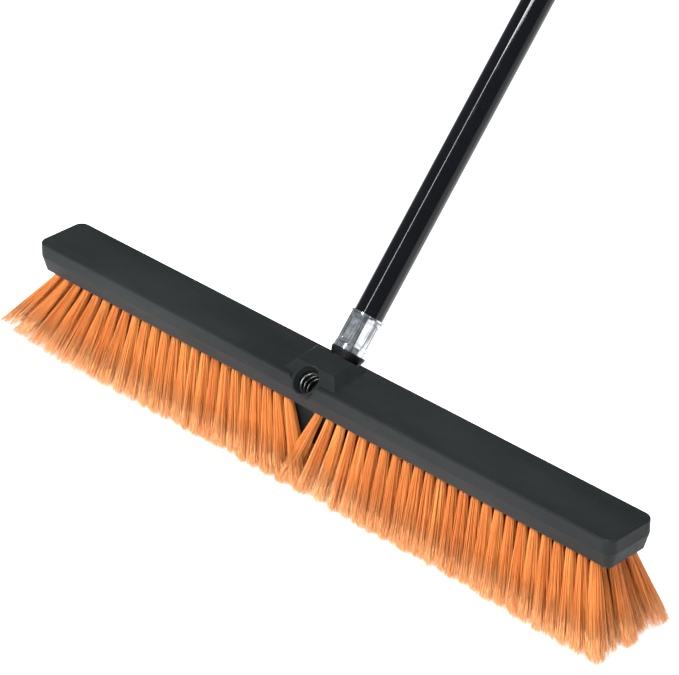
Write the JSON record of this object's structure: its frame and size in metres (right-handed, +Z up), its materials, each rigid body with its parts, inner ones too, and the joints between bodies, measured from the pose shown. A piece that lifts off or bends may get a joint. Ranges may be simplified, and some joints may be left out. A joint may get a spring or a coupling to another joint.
{
  "type": "push broom",
  "caption": "Push broom: a long black block with rows of orange bristle tufts, two threaded sockets on a raised hub, and a long black handle with a hexagonal ferrule.",
  "frame": {"origin": "middle of the block, on the floor plane that the bristle tips stand on", "axes": "+X along the block, +Y level towards the side that the handle leans to, +Z up from the floor"},
  "size_m": [0.6519, 1.0876, 1.2385],
  "materials": {
    "block_plastic": "satin moulded",
    "bristle": "flagged fibre",
    "staple_wire": "drawn wire",
    "collar_plastic": "satin",
    "tip_plastic": "satin",
    "pin_steel": "drawn",
    "ferrule_metal": "bright zinc",
    "tube_paint": "gloss",
    "cap_plastic": "satin"
  },
  "bodies": {
    "head": {"block": "block_plastic", "bristles_left_row_1": "bristle", "bristles_right_row_1": "bristle", "bristles_left_row_2": "bristle", "bristles_right_row_2": "bristle", "bristles_left_row_3": "bristle", "bristles_right_row_3": "bristle", "bristles_left_row_4": "bristle", "bristles_right_row_4": "bristle", "bristles_left_row_5": "bristle", "bristles_right_row_5": "bristle", "staples_left": "staple_wire", "staples_right": "staple_wire"},
    "collar": {"seat_collar": "collar_plastic"},
    "handle": {"threaded_tip": "tip_plastic", "tip_pin": "pin_steel", "ferrule": "ferrule_metal", "handle_tube": "tube_paint", "end_cap": "cap_plastic"}
  },
  "joints": [
    {"name": "screw_travel", "type": "slide", "parent": "head", "child": "collar", "axis": [0, 0.6691, 0.7431], "range_m": [0, 0.01524]},
    {"name": "handle_turn", "type": "hinge", "parent": "collar", "child": "handle", "pos_m": [0, 0.0204, 0.0978], "axis": [0, 0.6691, 0.7431], "range_deg": [0, 1080.1]}
  ],
  "couplings": [
    {"joint": "handle_turn", "follows": "screw_travel", "rad_per_m": 1236.8}
  ]
}
